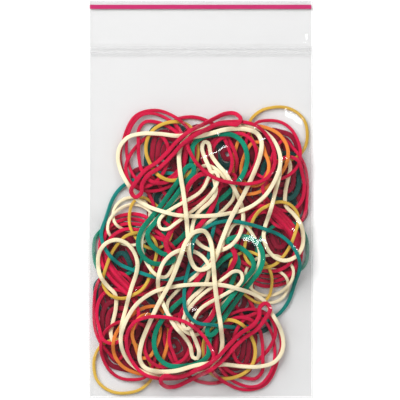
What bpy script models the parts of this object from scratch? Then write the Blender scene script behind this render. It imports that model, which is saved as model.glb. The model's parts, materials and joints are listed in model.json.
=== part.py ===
"""A press-seal bag of assorted rubber ring bands, lying flat on its back film.

+X runs across the bag, +Y towards its mouth and +Z up through the pile. The origin is under the middle
of the back film. Lengths are in millimetres and go to metres where a mesh is made.
"""

import math

import bmesh
import bpy
import numpy as np

MM = 0.001

# The bag: two films welded along their sides, folded at the bottom and closed by a zip.
BAG_WIDTH = 100.0
BAG_LENGTH = 176.5
FILM = 0.1
SIDE_WELD = 0.5
BOTTOM_FOLD = 0.35
EDGE_BEAD_HEIGHT = 0.6
CLEARANCE = 0.3
FILM_EDGE_X = BAG_WIDTH / 2 - SIDE_WELD - CLEARANCE
FILM_FOOT_Y = -BAG_LENGTH / 2 + BOTTOM_FOLD + CLEARANCE
MOUTH_Y = BAG_LENGTH / 2
FRONT_FILM_REST = 0.45

# The lip above the pile swings up about a line across the front film.
HINGE_Y = 46.0
HINGE_Z = 6.0
HINGE_SLIT = 0.3
LIP_SIDE_SLOPE = 0.55
ZIP_Y = 66.0
ZIP_FLAT = 3.4
ZIP_FILM_Z = 1.45
LIP_FLAT_Y = 72.0
LIP_ROWS = (52.0, 58.0)
STRIPE_Y = 85.4
STRIPE_WIDTH = 1.9
STRIPE_INK = 0.08
STRIPE_LIFT = 0.12

# The zip, as y from its middle and z: the hooked channel is on the lip, and it holds the head of the rib.
ZIP_CHANNEL = [(3.0, 1.3), (-3.0, 1.3), (-3.0, 1.16), (-1.9, 1.16), (-1.9, 0.52), (-0.62, 0.52),
               (-0.62, 0.6), (-1.05, 0.66), (-1.05, 1.12), (1.05, 1.12), (1.05, 0.66), (0.62, 0.6),
               (0.62, 0.52), (1.9, 0.52), (1.9, 1.16), (3.0, 1.16)]
ZIP_RIB = [(-3.0, 0.22), (3.0, 0.22), (3.0, 0.36), (0.4, 0.36), (0.4, 0.66), (0.7, 0.74), (0.0, 1.0),
           (-0.7, 0.74), (-0.4, 0.66), (-0.4, 0.36), (-3.0, 0.36)]

# The bands: flat rings of cut rubber.
BAND_WIDTH = 1.7
BAND_THICKNESS = 1.0
STATION_SPACING = 3.5
HEAP_CENTRE_Y = -22.7

# The laying rule works on a grid of square cells over the back film.
CELL = 0.5
GRID_LOW = (-50.0, -89.0)
GRID_HIGH = (50.0, 47.0)
LAYER_GAP = 0.15
CLEAR_AROUND = 0.5
TOP_AROUND = 0.1
STEEPEST = 1.0
NEIGHBOUR_SHARE = 0.5

FILM_CELL = 6.0
FILM_WALL = 0.8
TENT_ROUNDS = 12

MATERIALS = {
    "film": ((0.86, 0.87, 0.88), 0.2),
    "zip": ((0.93, 0.93, 0.94), 0.3),
    "ink": ((0.62, 0.03, 0.16), 0.4),
    "red": ((0.72, 0.01, 0.06), 0.5),
    "cream": ((0.91, 0.83, 0.63), 0.5),
    "yellow": ((0.79, 0.55, 0.09), 0.5),
    "orange": ((0.82, 0.32, 0.07), 0.5),
    "green": ((0.01, 0.3, 0.2), 0.5),
}

# Each ring's route in the upper half of the heap. The lower half repeats it, turned half round.
ROUTES = {
    "red_a": [(-34.3, 26), (-32.5, 31.5), (-29.3, 36.5), (-25, 38.8), (-18.5, 39.3), (-12.5, 37), (-7, 33),
              (-3.2, 27.5), (-2.6, 20.5), (-5.5, 13), (-11.5, 7), (-19, 3.8), (-27, 4.3), (-32.3, 8.3),
              (-35.2, 14), (-35.8, 20)],
    "red_b": [(-32.6, 27), (-30.3, 33), (-26.3, 37.2), (-21.5, 38), (-15.5, 36), (-10, 31.8), (-7.4, 26),
              (-7.2, 19), (-10.3, 12.5), (-16, 8.2), (-22.5, 6.5), (-28, 8.5), (-31.5, 14), (-32.9, 20.5)],
    "red_c": [(-27.6, 25), (-27.4, 31), (-24.5, 34.3), (-19, 34), (-13, 31.3), (-8.8, 27.3), (-6.4, 21),
              (-7.4, 15), (-10.8, 10), (-16, 7.2), (-22, 8), (-26, 12.5), (-27.4, 18.5)],
    "red_d": [(-30.9, 3.5), (-28.4, 8), (-24.8, 12.6), (-19.5, 16.2), (-14.5, 21), (-10, 25.9), (-4.8, 30),
              (1.2, 33.1), (6.5, 35.9), (11, 37.9), (15.2, 38), (17.8, 35.6), (16.2, 33.1), (12, 33.5),
              (7.2, 32.9), (2.3, 30.6), (-3.4, 27.7), (-8.4, 23.9), (-12.9, 19), (-17.9, 14.1),
              (-23.2, 10.6), (-26, 6.4), (-26.3, 2.6), (-29, 0.8)],
    "red_e": [(-4, 28.3), (2, 30.8), (8, 33.7), (14, 34.4), (20, 34), (25.5, 32), (30, 27.3), (32.7, 20.5),
              (32.4, 14), (29, 9), (22.5, 6.8), (14, 7.2), (7, 9), (1, 13), (-3.5, 18.5), (-5.8, 24.3)],
    "red_g": [(24.7, 33.7), (30, 34.9), (35.5, 34.2), (40, 31.2), (43, 26.3), (44.3, 20.5), (43, 14.5),
              (39, 10.5), (33, 8.5), (27, 9.8), (22.3, 14), (20, 20), (20.8, 27.5)],
    "red_h": [(37, 26), (41, 22.7), (44.3, 18.5), (46.4, 14), (47.3, 8.5), (47.3, 1), (46.7, -5),
              (44.5, -10), (40, -13), (34, -12), (29.8, -7), (28.5, 0), (29.6, 8), (31, 16), (33.3, 22.7)],
    "red_j": [(-12.6, -24.4), (-7.8, -20), (-2.7, -14.3), (1.8, -9), (5.2, -3.5), (7.2, 3), (6.1, 8.6),
              (1.5, 11.2), (-3.8, 8), (-7.4, 1), (-9.7, -7), (-13, -14), (-15.4, -20)],
    "red_k": [(28.5, -3.3), (33, -7), (37.5, -11.7), (41, -17), (42, -23), (39.5, -28.5), (34, -31.8),
              (27, -31.5), (20, -28.7), (13.5, -25.6), (10.4, -20.5), (12, -14), (17, -8), (22.5, -4)],
    "red_n": [(-11.5, 34.5), (-6, 36.4), (0, 35.8), (6, 33), (11, 28.5), (14.5, 22.5), (16.2, 16),
              (14, 10.3), (9, 8), (4, 11), (1, 17), (-3, 24), (-9, 29.5)],
    "cream_a": [(-36.7, 17.5), (-36, 22.8), (-32.3, 27.3), (-26, 29), (-18, 28.9), (-9, 28), (-3, 29.6),
                (3, 31.6), (9, 32.9), (15, 33.2), (21, 32.8), (27, 30.6), (32, 26.5), (34.8, 21),
                (35.3, 15.5), (33, 8.5), (28.3, 1.2), (20.5, -4.3), (10, -6.8), (0, -7.6), (-10, -7.2),
                (-17, -5.5), (-23, -3.4), (-28, -0.3), (-31.3, 5), (-35, 11.5)],
    "cream_b": [(-4.5, 27.2), (0, 28), (5, 29.2), (10, 30.6), (15, 31.2), (20, 31), (24.8, 29.3),
                (27, 25.5), (26.3, 19), (24, 12.5), (21.3, 6.5), (17.8, -0.5), (15, -5.5), (12.5, -10.5),
                (10.5, -15.5), (8.6, -20.5), (6.9, -25.5), (3.5, -30.3), (-1.5, -31.2), (-4.5, -26.5),
                (-5.5, -18), (-6.3, -8), (-7.5, 2), (-9, 11.5), (-9.5, 20), (-8, 24.8)],
    "cream_c": [(36, 17.5), (34.8, 9.8), (33.2, 3.5), (31.6, -2.8), (30, -8), (28.5, -12.5), (28, -17),
                (29.8, -22.5), (33.2, -26), (37.5, -27.3), (42, -25.7), (45, -21.5), (45.5, -16),
                (44.3, -11), (41.3, -6.8), (37.8, -3), (37.6, 3), (38.8, 9), (39.8, 14.5), (38.4, 18)],
    "cream_d": [(11.5, -3.5), (7, -7.6), (2.5, -11.2), (-2.5, -16), (-7.5, -21.6), (-11, -26.5),
                (-12.7, -31), (-15.7, -34.6), (-20, -33.4), (-24, -28), (-26.2, -21.5), (-25.4, -15.8),
                (-21.5, -11), (-16.5, -5.7), (-10.8, 0.2), (-5.8, 4), (-3.2, 9.5), (-1.3, 13), (2.3, 14.8),
                (6.3, 13.6), (10.8, 9.2), (14.6, 5), (14.6, 0.5)],
    "cream_e": [(3.6, 9.5), (2.2, 6.3), (0, 3.3), (-3.5, 0.8), (-8, -1.7), (-12.5, -4.2), (-16.3, -6.8),
                (-18.5, -10), (-17.7, -13), (-14.8, -13.4), (-11, -10.8), (-6, -7), (-1, -3.2), (3.5, 1),
                (6.8, 5.8), (7.8, 10.3), (6, 12.2)],
    "cream_f": [(3.4, 24.8), (4.6, 19.8), (7.6, 15.3), (11.2, 11.2), (14.2, 6), (16.4, 1.5), (18.2, -3),
                (18.9, -8), (18.2, -13), (16.2, -17.6), (12.5, -21.2), (8, -22.9), (3.5, -22.3),
                (-0.7, -19.9), (-3.6, -15.8), (-3.4, -11), (-1.9, -7.2), (0.6, -4.4), (4, -1.5), (6.6, 2.5),
                (6.2, 8), (4, 13.5), (1.8, 18.5), (0.6, 22.6), (1.5, 25.3)],
    "cream_g": [(-40.5, -9.5), (-36.5, -4.8), (-30.5, -2.4), (-24.5, -4), (-20.5, -8.5), (-20.5, -14.5),
                (-25, -19), (-31.5, -20.5), (-37.5, -18.5), (-41, -14.5)],
    "yellow_a": [(22.2, 35), (26.5, 39), (32, 40.7), (38, 40.6), (43, 38.3), (46.3, 34.5), (47.4, 29),
                 (46.8, 24), (44, 19.6), (38.5, 17), (32, 17.5), (26.5, 21), (23, 26.5), (21.4, 31)],
    "yellow_b": [(30, -2.9), (26.3, -5), (23.5, -8.8), (21.8, -13.5), (20.1, -18.5), (19.4, -23.3),
                 (20.6, -27.3), (24, -29.8), (28.5, -30.4), (33, -29), (36.6, -25.6), (39.4, -21.5),
                 (41.6, -16), (43.2, -10.5), (43, -6.6), (40.6, -3.2), (37, -1.5), (33.2, -1.5)],
    "yellow_c": [(-21.5, 30.2), (-18, 32.7), (-13, 34.2), (-8, 33.9), (-3.8, 31.2), (-1.6, 26), (-1.2, 20),
                 (-2.6, 14.5), (-6.5, 10.2), (-13, 8.2), (-19, 10.8), (-22.3, 15.5), (-24.2, 20.5),
                 (-23.8, 26)],
    "yellow_d": [(-30, -1.6), (-31.6, -7), (-31.3, -12), (-29, -16.7), (-25, -20.8), (-19.5, -22),
                 (-14, -18.5), (-13, -12), (-16.5, -6), (-21.5, -1.5), (-26.2, 0.8)],
    "orange_a": [(24, 32.3), (31, 31), (35.3, 28.3), (38.3, 23.5), (38.6, 17.5), (35.5, 11), (30.5, 6),
                 (24.5, 2.6), (19, 2.6), (15.3, 7), (14.2, 15), (15.8, 23), (18.8, 29.3)],
    "green_a": [(3.6, -25), (4.6, -18.4), (7.2, -5), (6.5, 4.1), (2, 9.2), (-5.3, 10.4), (-17.9, 11.5),
                (-26, 9.8), (-34, 6.2), (-38.6, 0.8), (-42, -8.5), (-44.1, -15.8), (-41.8, -22.9),
                (-36.5, -28.5), (-28.9, -31.9), (-20.1, -34.6), (-12.6, -35.7), (-5.5, -34.3), (0, -31),
                (2.6, -28)],
    "green_b": [(-5.9, 14.2), (-9.4, 8.7), (-13.9, 2.3), (-18.3, -3.8), (-22.4, -8.8), (-25.9, -13.4),
                (-27.6, -18.5), (-26.9, -23.2), (-24, -26.9), (-20, -28.7), (-15.4, -28.5), (-11.8, -26.9),
                (-12.8, -24.8), (-16.4, -24.4), (-20.2, -21.9), (-22.9, -18.5), (-23.4, -14.9),
                (-20.2, -10.4), (-16, -5), (-11.6, 0.6), (-6.9, 7), (-3, 12.2), (-3.4, 14.9)],
    "green_c": [(-14.8, -21), (-10.5, -18.9), (-5.6, -14), (-1.2, -9), (4, -4), (9, 0), (13, 3.6),
                (17.5, 8.8), (20.2, 14.5), (20.5, 20), (18.6, 25), (14.5, 28.3), (8, 28.8), (1.3, 27.6),
                (-3.2, 24), (-3.8, 18), (-5, 11), (-8.5, 3.5), (-12, -4), (-15.2, -12), (-16.8, -17.5)],
    "green_d": [(38.5, -10.5), (44, -12.3), (46.9, -17.5), (47.4, -23.5), (46.6, -28.5), (43.5, -32),
                (38, -34.5), (31.5, -34), (26.5, -30), (25, -23.5), (27.5, -16.5), (32.5, -12)],
}

# From the bottom of the heap to its top. A bare name lays its upper ring and then its lower one.
LAYING_ORDER = [
    "yellow_a", "red_h", "red_g", "orange_a", "green_d", "red_n", "red_k", "cream_g", "yellow_d", "cream_c",
    "yellow_b", "green_c", "green_a:upper", "red_a", "red_b", "red_c", "yellow_c", "green_b", "cream_d",
    "red_j", "cream_f", "cream_e", "green_a:lower", "cream_b", "cream_a", "red_e", "red_d",
]


def clear_scene():
    for existing in list(bpy.data.objects):
        bpy.data.objects.remove(existing, do_unlink=True)


def make_material(name):
    colour, roughness = MATERIALS[name]
    material = bpy.data.materials.new(name)
    material.use_nodes = True
    shader = material.node_tree.nodes["Principled BSDF"]
    shader.inputs["Base Color"].default_value = (*colour, 1.0)
    shader.inputs["Roughness"].default_value = roughness
    shader.inputs["Metallic"].default_value = 0.0
    return material


def add_piece(name, body, material):
    """One object from a closed body's vertices, in millimetres, and faces."""
    vertices, faces = body
    mesh = bpy.data.meshes.new(name)
    mesh.from_pydata([tuple(c * MM for c in v) for v in vertices], [], faces)
    shape = bmesh.new()
    shape.from_mesh(mesh)
    bmesh.ops.recalc_face_normals(shape, faces=shape.faces)
    shape.to_mesh(mesh)
    shape.free()
    mesh.materials.append(material)
    piece = bpy.data.objects.new(name, mesh)
    bpy.context.scene.collection.objects.link(piece)
    return piece


def box_part(low, high):
    (x0, y0, z0), (x1, y1, z1) = low, high
    vertices = [(x, y, z) for z in (z0, z1) for x, y in ((x0, y0), (x1, y0), (x1, y1), (x0, y1))]
    faces = [(3, 2, 1, 0), (4, 5, 6, 7)] + [(i, (i + 1) % 4, (i + 1) % 4 + 4, i + 4) for i in range(4)]
    return vertices, faces


def profile_part(profile, half_length):
    """A (y, z) outline drawn out along X."""
    count = len(profile)
    vertices = [(x, y, z) for x in (-half_length, half_length) for y, z in profile]
    faces = [tuple(range(count)), tuple(range(2 * count - 1, count - 1, -1))]
    faces += [(i, (i + 1) % count, (i + 1) % count + count, i + count) for i in range(count)]
    return vertices, faces


def zip_part(profile):
    """One of the zip's profiles, at its place and along its length."""
    return profile_part([(ZIP_Y + y, z) for y, z in profile], FILM_EDGE_X - CLEARANCE)


def outline_part(outline, height):
    """An (x, y) outline standing on the floor."""
    count = len(outline)
    vertices = [(x, y, z) for z in (0.0, height) for x, y in outline]
    faces = [tuple(range(count - 1, -1, -1)), tuple(range(count, 2 * count))]
    faces += [(i, (i + 1) % count, (i + 1) % count + count, i + count) for i in range(count)]
    return vertices, faces


def sheet_part(xs, ys, under):
    """A film over a grid, its underside at under[i, j]."""
    rows, columns = len(xs), len(ys)
    layer = rows * columns
    vertices = [(xs[i], ys[j], under[i, j] + lift) for lift in (0.0, FILM)
                for i in range(rows) for j in range(columns)]
    at = lambda i, j, upper: upper * layer + i * columns + j
    faces = []
    for i in range(rows - 1):
        for j in range(columns - 1):
            faces.append((at(i, j, 1), at(i + 1, j, 1), at(i + 1, j + 1, 1), at(i, j + 1, 1)))
            faces.append((at(i, j, 0), at(i, j + 1, 0), at(i + 1, j + 1, 0), at(i + 1, j, 0)))
    rim = [(i, 0) for i in range(rows)] + [(rows - 1, j) for j in range(1, columns)]
    rim += [(i, columns - 1) for i in range(rows - 2, -1, -1)] + [(0, j) for j in range(columns - 2, 0, -1)]
    for (i, j), (k, m) in zip(rim, rim[1:] + rim[:1]):
        faces.append((at(i, j, 0), at(k, m, 0), at(k, m, 1), at(i, j, 1)))
    return vertices, faces


def closed_curve(points, per_span=12):
    """A centripetal Catmull-Rom loop through a route's points."""
    route = np.array(points, float)
    count = len(route)
    curve = []
    for i in range(count):
        p = [route[(i + k) % count] for k in (-1, 0, 1, 2)]
        t = [0.0]
        for a, b in zip(p, p[1:]):
            t.append(t[-1] + math.sqrt(math.dist(a, b)))
        mix = lambda a, b, ta, tb, s: (a * (tb - s) + b * (s - ta)) / (tb - ta)
        for s in np.linspace(t[1], t[2], per_span, endpoint=False):
            a1, a2, a3 = (mix(p[k], p[k + 1], t[k], t[k + 1], s) for k in range(3))
            b1, b2 = mix(a1, a2, t[0], t[2], s), mix(a2, a3, t[1], t[3], s)
            curve.append(mix(b1, b2, t[1], t[2], s))
    return np.array(curve)


def even_stations(curve):
    """Points evenly spaced along the loop."""
    loop = np.vstack([curve, curve[:1]])
    along = np.concatenate([[0.0], np.cumsum(np.linalg.norm(np.diff(loop, axis=0), axis=1))])
    count = round(along[-1] / STATION_SPACING)
    places = np.arange(count) * along[-1] / count
    return np.column_stack([np.interp(places, along, loop[:, k]) for k in (0, 1)])


class HeapTop:
    """The height of what already lies on the back film, cell by cell."""

    def __init__(self):
        self.x = np.arange(GRID_LOW[0], GRID_HIGH[0] + CELL / 2, CELL)
        self.y = np.arange(GRID_LOW[1], GRID_HIGH[1] + CELL / 2, CELL)
        self.height = np.full((len(self.x), len(self.y)), FILM)

    def window(self, low, high):
        """The slices of cells between two corners."""
        spans = []
        for axis, places in enumerate((self.x, self.y)):
            first = max(0, int((low[axis] - GRID_LOW[axis]) / CELL))
            last = min(len(places), int((high[axis] - GRID_LOW[axis]) / CELL) + 2)
            spans.append(slice(first, last))
        return tuple(spans)

    def strip(self, a, b, reach):
        """The cells within reach of the line from a to b, and how far along it each lies."""
        spans = self.window(np.minimum(a, b) - reach, np.maximum(a, b) + reach)
        x, y = np.meshgrid(self.x[spans[0]], self.y[spans[1]], indexing="ij")
        run = b - a
        along = np.clip(((x - a[0]) * run[0] + (y - a[1]) * run[1]) / (run @ run), 0.0, 1.0)
        near = np.hypot(x - a[0] - along * run[0], y - a[1] - along * run[1]) <= reach
        return spans, near, along

    def lay(self, stations):
        """Rest a band on the heap: the height of its underside at each station."""
        following = np.roll(stations, -1, axis=0)
        needed = np.zeros(len(stations))
        for i, (a, b) in enumerate(zip(stations, following)):
            spans, near, _ = self.strip(a, b, BAND_WIDTH / 2 + CLEAR_AROUND)
            needed[i] = self.height[spans][near].max() + LAYER_GAP
        under = np.maximum(needed, np.roll(needed, 1))
        drop = STEEPEST * STATION_SPACING
        for _ in stations:
            under = np.maximum(under, np.maximum(np.roll(under, 1), np.roll(under, -1)) - drop)
        neighbours = (np.roll(under, 1) + np.roll(under, -1)) / 2.0
        under = np.maximum(under, under + NEIGHBOUR_SHARE * (neighbours - under))
        for i, (a, b) in enumerate(zip(stations, following)):
            spans, near, along = self.strip(a, b, BAND_WIDTH / 2 + TOP_AROUND)
            top = under[i] + along * (under[(i + 1) % len(under)] - under[i]) + BAND_THICKNESS
            self.height[spans] = np.where(near, np.maximum(self.height[spans], top), self.height[spans])
        return under

    def highest(self, x0, x1, y0, y1):
        return self.height[self.window((x0, y0), (x1, y1))].max()


def band_part(stations, under):
    """A strap of rectangular section swept round the loop."""
    count = len(stations)
    ahead = np.roll(stations, -1, axis=0) - stations
    ahead /= np.linalg.norm(ahead, axis=1)[:, None]
    behind = np.roll(ahead, 1, axis=0)
    tangent = ahead + behind
    tangent /= np.linalg.norm(tangent, axis=1)[:, None]
    half_turn = np.sqrt((1.0 + (ahead * behind).sum(axis=1)) / 2.0)
    side = np.column_stack([-tangent[:, 1], tangent[:, 0]]) * (BAND_WIDTH / 2 / half_turn)[:, None]
    vertices, faces = [], []
    for place, across, z in zip(stations, side, under):
        for sign, lift in ((-1, 0.0), (1, 0.0), (1, BAND_THICKNESS), (-1, BAND_THICKNESS)):
            x, y = place + sign * across
            vertices.append((x, y, z + lift))
    for i in range(count):
        here, there = 4 * i, 4 * ((i + 1) % count)
        for k in range(4):
            faces.append((here + k, here + (k + 1) % 4, there + (k + 1) % 4, there + k))
    return vertices, faces


def lay_heap(heap):
    """Every band's body, keyed by route name and half."""
    bodies = {}
    for entry in LAYING_ORDER:
        name, _, only = entry.partition(":")
        for half in [only] if only else ["upper", "lower"]:
            route = ROUTES[name]
            if half == "lower":
                route = [(-x, 2 * HEAP_CENTRE_Y - y) for x, y in route]
            stations = even_stations(closed_curve(route))
            bodies[name, half] = band_part(stations, heap.lay(stations))
    return bodies


def make_bands(bodies, materials):
    for name in ROUTES:
        colour, letter = name.split("_")
        for half in ("upper", "lower"):
            add_piece(f"{colour}_band_{letter}_{half}", bodies[name, half], materials[colour])


def lip_height(x, y):
    """The underside of the front film above the pile, with the mouth closed."""
    past_zip = ZIP_Y + ZIP_FLAT
    ridge = np.interp(y, [HINGE_Y, ZIP_Y - ZIP_FLAT, past_zip, LIP_FLAT_Y],
                      [HINGE_Z, ZIP_FILM_Z, ZIP_FILM_Z, FRONT_FILM_REST])
    flank = FRONT_FILM_REST + LIP_SIDE_SLOPE * (FILM_EDGE_X - abs(x))
    return min(ridge, max(flank, min(ridge, ZIP_FILM_Z)))


def grid_lines(low, high, wall):
    """Even lines between two edges, with one more line a wall's width inside each."""
    inner = np.linspace(low + wall, high - wall, max(2, round((high - low) / FILM_CELL) + 1))
    return np.concatenate([[low], inner, [high]])


def make_front_film(heap, material):
    """The film over the pile, tented from the side welds and the bottom fold to the hinge line."""
    xs = grid_lines(-FILM_EDGE_X, FILM_EDGE_X, FILM_WALL)
    ys = grid_lines(FILM_FOOT_Y, HINGE_Y - HINGE_SLIT / 2, FILM_WALL)
    low = np.full((len(xs), len(ys)), FRONT_FILM_REST)
    for i in range(1, len(xs) - 1):
        for j in range(1, len(ys) - 1):
            low[i, j] += heap.highest(xs[i - 1], xs[i + 1], ys[j - 1], ys[j + 1])
    low[:, -1] = [lip_height(x, HINGE_Y) for x in xs]
    under = low.copy()
    for _ in range(TENT_ROUNDS):
        around = (under[:-2, 1:-1] + under[2:, 1:-1] + under[1:-1, :-2] + under[1:-1, 2:]) / 4.0
        under[1:-1, 1:-1] = np.maximum(low[1:-1, 1:-1], around)
    add_piece("front_film", sheet_part(xs, ys, under), material)


def make_hinge():
    """An empty on the line that the lip swings about."""
    hinge = bpy.data.objects.new("mouth_hinge", None)
    hinge.location = (0.0, HINGE_Y * MM, HINGE_Z * MM)
    bpy.context.scene.collection.objects.link(hinge)
    return hinge


def make_lip(materials):
    """The lip above the pile, with its half of the zip and the printed opening line."""
    xs = grid_lines(-FILM_EDGE_X, FILM_EDGE_X, 2 * FILM_WALL)
    ys = np.array([HINGE_Y + HINGE_SLIT / 2, *LIP_ROWS, ZIP_Y - ZIP_FLAT, ZIP_Y + ZIP_FLAT, LIP_FLAT_Y,
                   MOUTH_Y])
    under = np.array([[lip_height(x, y) for y in ys] for x in xs])
    film = add_piece("front_lip_film", sheet_part(xs, ys, under), materials["film"])
    channel = add_piece("zip_channel", zip_part(ZIP_CHANNEL), materials["zip"])

    ink_z = FRONT_FILM_REST + FILM + STRIPE_LIFT
    ink_low = (-FILM_EDGE_X, STRIPE_Y - STRIPE_WIDTH / 2, ink_z)
    ink_high = (FILM_EDGE_X, STRIPE_Y + STRIPE_WIDTH / 2, ink_z + STRIPE_INK)
    stripe = add_piece("opening_stripe", box_part(ink_low, ink_high), materials["ink"])

    hinge = make_hinge()
    for piece in (film, channel, stripe):
        piece.parent = hinge
        piece.location = -hinge.location


def make_back(materials):
    """The back film, the rib on it, and the welded and folded edges."""
    film_low, film_high = (-FILM_EDGE_X, FILM_FOOT_Y, 0.0), (FILM_EDGE_X, MOUTH_Y, FILM)
    add_piece("back_film", box_part(film_low, film_high), materials["film"])
    add_piece("zip_rib", zip_part(ZIP_RIB), materials["zip"])

    outer, inner = BAG_WIDTH / 2, BAG_WIDTH / 2 - SIDE_WELD
    foot = -MOUTH_Y + BOTTOM_FOLD
    outline = [(-outer, MOUTH_Y), (-outer, -MOUTH_Y), (outer, -MOUTH_Y), (outer, MOUTH_Y),
               (inner, MOUTH_Y), (inner, foot), (-inner, foot), (-inner, MOUTH_Y)]
    add_piece("edge_welds", outline_part(outline, EDGE_BEAD_HEIGHT), materials["film"])


def main():
    clear_scene()
    materials = {name: make_material(name) for name in MATERIALS}
    heap = HeapTop()
    make_bands(lay_heap(heap), materials)
    make_front_film(heap, materials["film"])
    make_lip(materials)
    make_back(materials)


main()
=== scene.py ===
"""The looks of a press-seal bag of rubber ring bands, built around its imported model.

Lengths are in millimetres and go to metres where a mesh is made. The lights, the floor and the camera are
in metres. +X runs across the bag, +Y towards its mouth and +Z up through the heap.
"""

import json
import math

import bmesh
import bpy
import numpy as np
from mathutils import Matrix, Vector
from mathutils.kdtree import KDTree

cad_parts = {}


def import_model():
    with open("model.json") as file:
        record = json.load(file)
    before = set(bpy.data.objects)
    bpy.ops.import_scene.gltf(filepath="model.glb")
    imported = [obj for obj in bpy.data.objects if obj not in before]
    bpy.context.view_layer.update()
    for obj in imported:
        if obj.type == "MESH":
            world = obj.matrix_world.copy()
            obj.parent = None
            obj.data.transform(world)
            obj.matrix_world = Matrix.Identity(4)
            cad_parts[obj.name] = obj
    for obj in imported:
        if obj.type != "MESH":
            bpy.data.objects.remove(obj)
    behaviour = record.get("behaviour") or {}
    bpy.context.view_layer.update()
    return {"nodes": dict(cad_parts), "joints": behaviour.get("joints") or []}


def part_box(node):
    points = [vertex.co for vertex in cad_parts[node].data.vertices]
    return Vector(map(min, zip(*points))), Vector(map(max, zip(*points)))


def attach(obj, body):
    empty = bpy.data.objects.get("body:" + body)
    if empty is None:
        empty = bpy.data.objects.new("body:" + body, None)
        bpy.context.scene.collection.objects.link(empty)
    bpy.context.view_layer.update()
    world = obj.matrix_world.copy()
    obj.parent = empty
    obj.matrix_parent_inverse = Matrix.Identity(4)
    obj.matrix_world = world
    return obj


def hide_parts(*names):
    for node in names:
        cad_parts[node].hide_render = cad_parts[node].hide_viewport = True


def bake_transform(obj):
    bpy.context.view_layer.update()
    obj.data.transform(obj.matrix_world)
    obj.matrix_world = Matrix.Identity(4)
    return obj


MM = 0.001

# The heap's rings: straps of rubber with rounded corners, cut from a tube.
BAND_WIDTH = 1.55
BAND_THICKNESS = 1.0
THINNEST_SHARE = 0.88
CORNER = 0.2
CORNER_STEPS = 2
CURVE_STEPS = 12
STATION_SPACING = 1.1
HEAP_CENTRE_Y = -22.7
TWIST = math.radians(16.0)
TWIST_WAVES = (2, 3, 5)
RING_SEED = 5

# Heights are kept on a grid of square cells over the back film. What lies down looks for support a little
# further out than it covers, and both reaches are shares of a cell.
CELL = 0.4
GRID_LOW = (-50.0, -89.0)
GRID_HIGH = (50.0, 47.0)
SUPPORT_REACH = 0.75
COVER_REACH = 0.25
BACK_TOP = 0.2
LAYER_GAP = 0.06
STEEPEST = 1.3
SAG_ROUNDS = 14

# The weave lifts the rings until none is inside another. Dives whose rings climb past a limit are undone:
# the limit is a share of the heap's top, and the share shrinks while the rings still climb.
SETTLE_ROUNDS = 60
SLOPE_ROUNDS = 6
MOST_ATTEMPTS = 60
HEAP_LIMIT = 11.0
UNDONE_SHARE = 0.97
SHARE_STEP = 0.8
LEAST_SHARE = 0.1
SETTLED = 0.005
MEETING_MARGIN = 0.2
CONTACT_REACH = 2
DIVE_DEPTH = 1000

# Films
FILM = 0.08
FILM_MIRROR = 0.015
SHEET_CELL = 1.2
FILM_CLEARANCE = 0.25
DRAPE_ROUNDS = 90
WELD_SLOPE = 3.0
CREASE_HEIGHT = 0.45
CREASE_FADE = 3.0
CREASE_CELLS = ((16.0, 0.5), (8.0, 0.3), (4.0, 0.2))
CREASE_WARP = 3.0
CREASE_WARP_CELL = 20.0
CREASE_SHARPNESS = 4
CREASE_SEED = 11

# The zip under the front film: how the film climbs to it from the hinge line and falls to the lip.
HINGE_RUN = 3
HINGE_RISE = 2.0
ZIP_SHOULDER = 1
ZIP_CLEARANCE = 0.1
LIP_RUN = 5
ZIP_CEILING = 1.05
ZIP_MILK = 0.15
BEND_STEP = 2.0

# Each rubber's lighter tone, deeper tone and share of dust.
TINT_SHARE = 0.6
RUBBERS = {
    "red": ((0.70, 0.006, 0.065), (0.52, 0.003, 0.04), 0.03),
    "cream": ((0.95, 0.86, 0.62), (0.90, 0.78, 0.50), 0.05),
    "yellow": ((0.76, 0.49, 0.08), (0.60, 0.36, 0.04), 0.04),
    "orange": ((0.85, 0.28, 0.05), (0.75, 0.2, 0.03), 0.04),
    "green": ((0.0, 0.28, 0.16), (0.0, 0.17, 0.11), 0.02),
    "teal": ((0.003, 0.26, 0.24), (0.0, 0.17, 0.14), 0.02),
    # The last two are the rubbers of the rings buried deep in the heap, made darker than the rest: painted
    # shade for the heap's depths.
    "buried_red": ((0.38, 0.006, 0.035), (0.18, 0.003, 0.02), 0.02),
    "buried_green": ((0.01, 0.09, 0.08), (0.005, 0.05, 0.05), 0.02),
}

# A ring whose rubber differs from the others of its colour.
SPECIAL_FINISH = {"green_a": "teal"}
STRIPE_COLOUR = (0.49, 0.024, 0.13)

# Studio, in metres. Each light has a name, a place, a width, a height, a power in watts, and whether
# glossy things mirror it.
STUDIO_LIGHT = 0.25
LIGHTS = [
    ("key", (-0.8, 0.75, 1.0), 1.2, 1.2, 34.0, False),
    ("fill", (0.95, -0.6, 0.9), 1.2, 1.2, 8.0, False),
    ("window", (0.35, 0.3, 0.8), 0.06, 0.25, 1.0, True),
]
LIGHT_TARGET = (0.0, -0.01, 0.0)
FLOOR_REACH = 2.5
FLOOR_HEIGHT = -0.0002
VIEW_WIDTH = 0.1778
VIEW_SHIFT = (-0.00027, -0.00044)
LENS = 600.0
SENSOR = 36.0

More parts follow.
